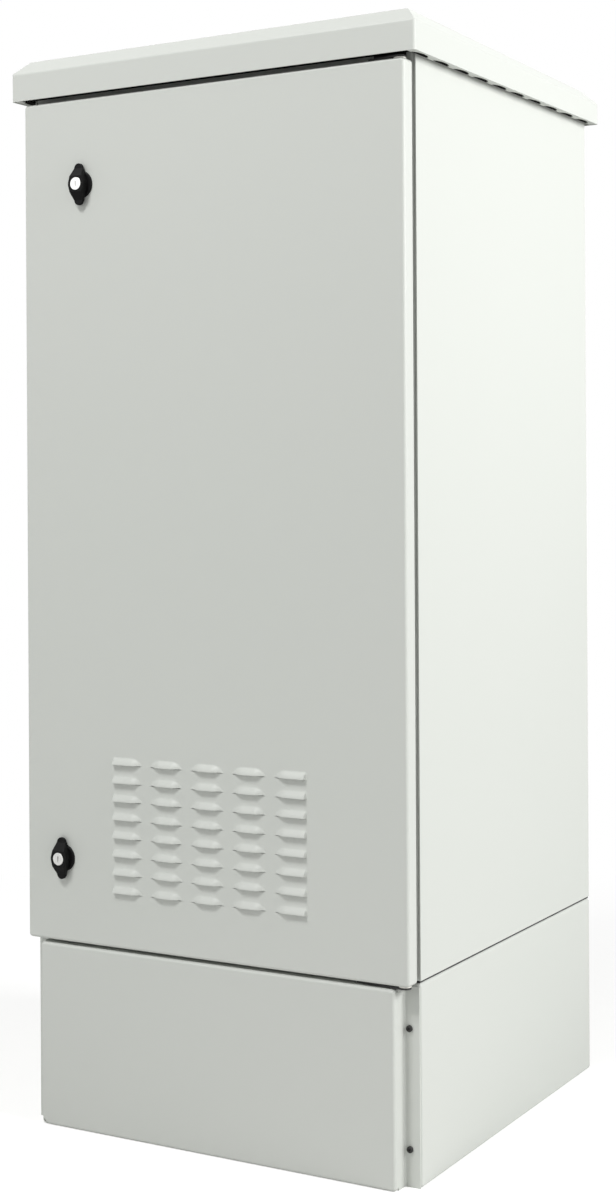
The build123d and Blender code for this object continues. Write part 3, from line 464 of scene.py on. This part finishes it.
def pressed_point(x, down, top, low):
    """Place of the sheet at x, at a share of the way down from a row's top to its lip."""
    share, square_end, along = swell(x)
    low -= slit * (1 - min(share * slit_closing, 1.0))
    arch = brow_at_tip + (1 - brow_at_tip) * (1 - (1 - along) ** 2)
    brow = louvre_height if square_end else louvre_height * arch
    crease = low + brow
    if down < flat_share:
        return top + (crease - top) * down / flat_share, 0.0
    slope = (down - flat_share) / (1 - flat_share)
    return crease - brow * slope, share * louvre_rise * (1 - (1 - slope) ** brow_bend)


def pressed_strip(name, top, low, pressed):
    """One row of the skin, from the slit above it down to its own slit."""
    deselect()
    steps = strip_rows if pressed else 2
    bpy.ops.mesh.primitive_grid_add(
        x_subdivisions=strip_columns, y_subdivisions=steps, size=1.0, location=(0.0, 0.0, 0.0)
    )
    strip = bpy.context.object
    strip.name = name
    for vertex in strip.data.vertices:
        x = vertex.co.x * 2 * field_side
        down = 0.5 - vertex.co.y
        if pressed:
            height, rise = pressed_point(x, down, top, low)
        else:
            height, rise = top + (low - top) * down, 0.0
        vertex.co = (x, skin_front - rise, height)
    return strip


strips = []
strip_top = field_top
for row in range(louvre_rows):
    lip_height = first_louvre_top - row * row_pitch - lip_drop
    strips.append(pressed_strip(f"louvre_row_{row + 1}", strip_top, lip_height, True))
    strip_top = lip_height - slit
strips.append(pressed_strip("louvre_foot", strip_top, field_bottom, False))

deselect()
for strip in strips:
    strip.select_set(True)
bpy.context.view_layer.objects.active = strips[0]
bpy.ops.object.join()
louvres = bpy.context.object
louvres.name = "louvre_field"
wall = louvres.modifiers.new("sheet", "SOLIDIFY")
wall.thickness = skin_thickness * sheet_share
wall.offset = -1.0
bpy.ops.object.modifier_apply(modifier=wall.name)
bpy.ops.object.shade_smooth_by_angle(angle=math.radians(smooth_angle))

deselect()
cad_leaf = nodes["door_leaf"]
leaf = bpy.data.objects.new("door_leaf_skin", cad_leaf.data.copy())
bpy.context.scene.collection.objects.link(leaf)
leaf.select_set(True)
bpy.context.view_layer.objects.active = leaf
bpy.ops.object.mode_set(mode="EDIT")
bpy.ops.mesh.select_all(action="SELECT")
bpy.ops.mesh.remove_doubles(threshold=merge_distance)
bpy.ops.object.mode_set(mode="OBJECT")

punch_front = skin_front - punch_reach
punch_back = skin_front + punch_depth * skin_thickness
take_away(leaf, slab("punch", (-field_side, punch_front, field_bottom), (field_side, punch_back, field_top)))
louvres.select_set(True)
bpy.ops.object.join()
leaf.name = "pressed_door_leaf"
leaf.data.materials.clear()
leaf.data.materials.append(powder_coat)
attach(leaf, "door")
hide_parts("door_leaf")


# Zinc-plated steel: rails, braces, keepers, cams, pivot blocks, gland plate, filter frame and
# the plain fasteners, bright when new, with the cloudy look that the plating bath leaves.

zinc_nodes = [
    "plinth_rivet_nuts",
    "plinth_bolts",
    "gland_plate",
    "gland_plate_screws",
    "hood_bolts",
    "keeper_upper",
    "keeper_lower",
    "latch_cam_upper",
    "latch_cam_lower",
    "cam_screw_upper",
    "cam_screw_lower",
    "lock_nuts",
    "rail_front_left",
    "rail_front_right",
    "rail_back_left",
    "rail_back_right",
    "brace_lower_left",
    "brace_lower_right",
    "brace_upper_left",
    "brace_upper_right",
    "rail_screws",
    "filter_frame",
    "pivot_blocks",
]
zinc = Finish("zinc_plate")
spangle = zinc.node("ShaderNodeTexVoronoi", {"feature": "F1"}, Vector=zinc.place(), Scale=160.0)
drift = zinc.noise(22.0, 4.0)
zinc_plate = zinc.set(
    Base_Color=zinc.blend(drift, (0.50, 0.51, 0.53), (0.62, 0.63, 0.65)),
    Metallic=1.0,
    Roughness=0.30 + drift * 0.14 + spangle * 0.06,
    Normal=zinc.bump(spangle + drift * 0.5, 0.05, 0.0003),
)
dress(zinc_nodes, zinc_plate)


# Blackened steel: the four low screws that hold the plinth's front cover. The pivot
# brackets with their screws and pins get the same near-black as painted shade, so that
# they vanish in the shadow round the door.

blackened = Finish("black_steel_and_painted_shade")
oil = blackened.noise(300.0, 3.0)
black_steel_and_painted_shade = blackened.set(
    Base_Color=blackened.blend(oil, (0.020, 0.020, 0.019), (0.036, 0.036, 0.035)),
    Metallic=0.2,
    Roughness=0.50 + oil * 0.15,
    Normal=blackened.bump(oil, 0.15, 0.0002),
)
# Painted shade on the pivot brackets, their screws and pins; the cover screws are black steel.
dress(
    [
        "plinth_cover_screws",
        "pivot_bracket_upper",
        "pivot_bracket_lower",
        "bracket_screws",
        "pivot_pins",
    ],
    black_steel_and_painted_shade,
)


# Latches: rosette, barrel and wing knob are moulded in black glass-filled nylon, with a
# very fine spark-eroded grain. The key cylinder is nickel-plated brass with a turned face.

nylon = Finish("black_nylon")
spark = nylon.noise(3200.0, 2.0)
handled = nylon.noise(60.0, 3.0)
black_nylon = nylon.set(
    Base_Color=nylon.blend(handled, (0.0030, 0.0030, 0.0033), (0.0055, 0.0055, 0.0055)),
    Roughness=0.50 + handled * 0.10,
    Specular_IOR_Level=0.14,
    Normal=nylon.bump(spark, 0.12, 0.0002),
)
dress(["latch_knob_upper", "latch_knob_lower", "lock_body_upper", "lock_body_lower"], black_nylon)

nickel = Finish("satin_nickel")
turned = nickel.noise(900.0, 2.0)
satin_nickel = nickel.set(
    Base_Color=nickel.blend(turned, (0.80, 0.80, 0.78), (0.88, 0.88, 0.86)),
    Metallic=1.0,
    Roughness=0.28 + turned * 0.10,
    Normal=nickel.bump(turned, 0.05, 0.0002),
)
dress(["key_cylinder_upper", "key_cylinder_lower"], satin_nickel)


# Moulded rubber: the seal under the body and the six closed grommets of the gland plate,
# both black, with the dull bloom that rubber gets on its surface.

rubber = Finish("black_rubber")
bloom = rubber.noise(90.0, 4.0)
black_rubber = rubber.set(
    Base_Color=rubber.blend(bloom, (0.018, 0.018, 0.018), (0.030, 0.030, 0.029)),
    Roughness=0.72 + bloom * 0.12,
    Normal=rubber.bump(bloom, 0.15, 0.0004),
)
dress(["base_seal", "cable_grommets"], black_rubber)


# Door gasket: one endless bead of black foam rubber, glued on the door's skin and pressed
# by the frame's lip. It is extruded with a round back and cut from the roll.

gasket_low, gasket_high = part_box("door_gasket")
bead_radius = (gasket_high[1] - gasket_low[1]) / 2
bead_inset = 0.006
corner_bend = 0.012
foam = Finish("foam_rubber")
pores = foam.noise(1400.0, 3.0, 0.7)
patches = foam.noise(35.0, 2.0)
foam_rubber = foam.set(
    Base_Color=foam.blend(patches, (0.016, 0.016, 0.016), (0.028, 0.028, 0.027)),
    Roughness=0.82 + pores * 0.10,
    Specular_IOR_Level=0.25,
    Normal=foam.bump(pores, 0.5, 0.0006),
)
deselect()
bpy.ops.mesh.primitive_plane_add(
    size=1.0,
    location=(0.0, (gasket_low[1] + gasket_high[1]) / 2, (gasket_low[2] + gasket_high[2]) / 2),
    rotation=(math.radians(90), 0.0, 0.0),
)
gasket = bpy.context.object
gasket.name = "foam_gasket"
gasket.scale = (
    gasket_high[0] - gasket_low[0] - 2 * bead_inset,
    gasket_high[2] - gasket_low[2] - 2 * bead_inset,
    1.0,
)
bpy.ops.object.transform_apply(location=True, rotation=True, scale=True)
bpy.ops.object.mode_set(mode="EDIT")
bpy.ops.mesh.select_all(action="SELECT")
bpy.ops.mesh.bevel(offset=corner_bend, segments=8, affect="VERTICES")
bpy.ops.mesh.select_all(action="SELECT")
bpy.ops.mesh.delete(type="ONLY_FACE")
bpy.ops.object.mode_set(mode="OBJECT")
bpy.ops.object.convert(target="CURVE")
gasket.data.bevel_depth = bead_radius
gasket.data.bevel_resolution = 5
bpy.ops.object.convert(target="MESH")
gasket = bpy.context.object
bpy.ops.object.shade_smooth()
gasket.data.materials.clear()
gasket.data.materials.append(foam_rubber)
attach(gasket, "door")
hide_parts("door_gasket")


# Filter mat: a pad of loose white polyester fibre behind the louvres, cut from a roll and
# held in its frame. Its cut edges are soft and its faces a little uneven.

fibre = Finish("white_fibre")
strands = fibre.noise(380.0, 6.0, 0.75, fibre.stretched((1.0, 1.0, 0.35)))
white_fibre = fibre.set(
    Base_Color=fibre.blend(strands, (0.48, 0.49, 0.48), (0.82, 0.83, 0.82)),
    Roughness=0.95,
    Specular_IOR_Level=0.1,
    Normal=fibre.bump(strands, 0.9, 0.002),
)
mat_low, mat_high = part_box("filter_mat")
mat_edge = 0.003
mat_hollow = 0.0012
mat_waves = (61.0, 83.0)
mat_middle = [(low + high) / 2 for low, high in zip(mat_low, mat_high)]
mat = slab("fibre_filter_mat", mat_low, mat_high)
bpy.ops.object.mode_set(mode="EDIT")
bpy.ops.mesh.select_all(action="SELECT")
bpy.ops.mesh.bevel(offset=mat_edge, segments=3, affect="EDGES")
bpy.ops.mesh.select_all(action="SELECT")
bpy.ops.mesh.subdivide(number_cuts=14)
bpy.ops.object.mode_set(mode="OBJECT")
for vertex in mat.data.vertices:
    ripple = math.sin(vertex.co.x * mat_waves[0] + 0.7) * math.sin(vertex.co.z * mat_waves[1])
    side = 1.0 if vertex.co.y > mat_middle[1] else -1.0
    vertex.co.y -= side * mat_hollow * (0.5 + 0.5 * ripple)
bpy.ops.object.shade_smooth()
mat.data.materials.append(white_fibre)
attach(mat, "door")
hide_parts("filter_mat")


# Pivot bushes and earth stud: the bushes are moulded in natural acetal, and the stud with
# its collar is turned from plain brass, which has tarnished a little.

acetal = Finish("natural_acetal")
mould = acetal.noise(500.0, 2.0)
natural_acetal = acetal.set(
    Base_Color=acetal.blend(mould, (0.74, 0.73, 0.67), (0.80, 0.79, 0.74)),
    Roughness=0.38 + mould * 0.08,
    Normal=acetal.bump(mould, 0.05, 0.0002),
)
dress(["pivot_bushes"], natural_acetal)

stud = Finish("plain_brass")
tarnish = stud.noise(140.0, 4.0)
plain_brass = stud.set(
    Base_Color=stud.blend(tarnish, (0.62, 0.43, 0.17), (0.78, 0.58, 0.28)),
    Metallic=1.0,
    Roughness=0.25 + tarnish * 0.2,
    Normal=stud.bump(tarnish, 0.08, 0.0003),
)
dress(["earth_stud"], plain_brass)
